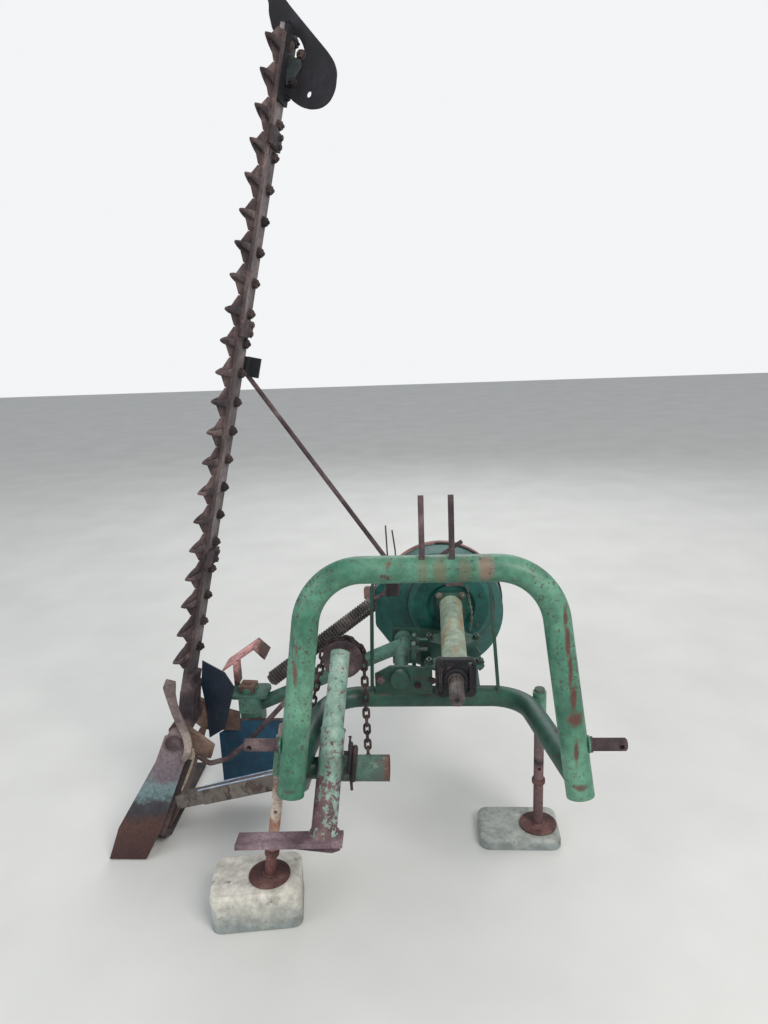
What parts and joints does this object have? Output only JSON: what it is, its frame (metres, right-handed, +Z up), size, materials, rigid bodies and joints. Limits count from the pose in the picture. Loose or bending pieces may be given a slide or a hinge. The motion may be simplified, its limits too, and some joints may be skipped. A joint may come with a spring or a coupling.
{
  "type": "sickle bar mower",
  "caption": "Three-point sickle bar mower parked on its stands, with its slotted-guard cutter bar folded up beside an arched hitch frame, drive drum, lift lever and inner shoe.",
  "frame": {"origin": "middle of the whole machine's box, on the ground", "axes": "+X across the machine to the viewer's right as seen from the hitch, +Y rearward away from the tractor, +Z up"},
  "size_m": [1.285, 0.946, 2.169],
  "materials": {
    "green_paint": "weathered sea-green paint with rust chips",
    "mint_paint": "pale mint paint worn through to brown rust",
    "teal_paint": "deep teal paint, satin",
    "rusty_steel": "brown rust, rough",
    "bar_steel": "pink-tan rust, rough",
    "knife_steel": "red-brown rust",
    "black_iron": "near-black iron, greasy",
    "blue_paint": "faded blue paint",
    "dark_blue_paint": "dark blue paint",
    "red_paint": "faded pink-red paint",
    "pale_block": "pale cream, dirty below"
  },
  "bodies": {
    "frame": {"hitch_arch": "green_paint", "hitch_pins": "rusty_steel", "top_link_lugs": "green_paint", "rear_bow": "green_paint", "pto_plate": "black_iron", "pto_tube": "mint_paint", "drum_housing": "teal_paint", "rear_cover": "red_paint", "drive_cradle": "green_paint", "guard_hoop": "green_paint", "pivot_bracket": "green_paint", "pivot_pin": "rusty_steel", "adjuster": "green_paint", "stay_anchor": "green_paint", "spring_rod": "rusty_steel", "lever_mount": "green_paint", "stand_sleeves": "green_paint", "ground_blocks": "pale_block", "lift_spring": "rusty_steel"},
    "drive_shaft": {"pto_shaft": "rusty_steel", "flywheel": "rusty_steel"},
    "lever": {"lift_lever": "mint_paint", "lever_foot": "rusty_steel", "lift_chain": "rusty_steel"},
    "chain_pulley": {"pulley": "rusty_steel"},
    "lower_arm": {"arm": "green_paint", "inner_shoe": "rusty_steel", "shoe_sole": "rusty_steel", "bar_pin": "rusty_steel", "skid": "rusty_steel", "nose_strap": "rusty_steel", "side_plate": "dark_blue_paint", "swath_board": "blue_paint", "pink_shield": "red_paint", "drag_strut": "rusty_steel", "pull_rod": "rusty_steel"},
    "bar": {"cutter_bar": "bar_steel", "bar_heel": "bar_steel", "hold_downs": "black_iron", "outer_shoe": "black_iron", "stay_bracket": "black_iron"},
    "knife_slide": {"knife": "knife_steel"},
    "stay": {"stay_rod": "rusty_steel"},
    "left_leg": {"left_stand": "rusty_steel"},
    "right_leg": {"right_stand": "rusty_steel"}
  },
  "joints": [
    {"name": "pto_turn", "type": "hinge", "parent": "frame", "child": "drive_shaft", "pos_m": [0.2845, -0.22018, 0.534], "axis": [0, 1, 0], "continuous": true},
    {"name": "lever_lift", "type": "hinge", "parent": "frame", "child": "lever", "pos_m": [0.0275, -0.27418, 0.352], "axis": [1, 0, 0], "range_deg": [0, 20]},
    {"name": "pulley_turn", "type": "hinge", "parent": "lever", "child": "chain_pulley", "pos_m": [-0.0005, -0.07008, 0.5316], "axis": [0, 1, 0], "continuous": true},
    {"name": "arm_lift", "type": "hinge", "parent": "frame", "child": "lower_arm", "pos_m": [0.1435, 0.07982, 0.462], "axis": [0, 1, 0], "range_deg": [0, 20], "deforming": ["lift_spring"]},
    {"name": "bar_fold", "type": "hinge", "parent": "lower_arm", "child": "bar", "pos_m": [-0.4605, 0.03982, 0.304], "axis": [0, 1, 0], "range_deg": [-103, 0]},
    {"name": "knife_stroke", "type": "slide", "parent": "bar", "child": "knife_slide", "axis": [0.2193, 0.0718, 0.973], "range_m": [-0.038, 0.038]},
    {"name": "stay_swing", "type": "hinge", "parent": "frame", "child": "stay", "pos_m": [0.1275, 0.21182, 0.673], "axis": [0, 1, 0], "range_deg": [0, 60]},
    {"name": "left_stand_slide", "type": "slide", "parent": "frame", "child": "left_leg", "axis": [0.1513, 0.0549, 0.987], "range_m": [0, 0.18]},
    {"name": "right_stand_slide", "type": "slide", "parent": "frame", "child": "right_leg", "axis": [0, 0, 1], "range_m": [0, 0.18]}
  ]
}
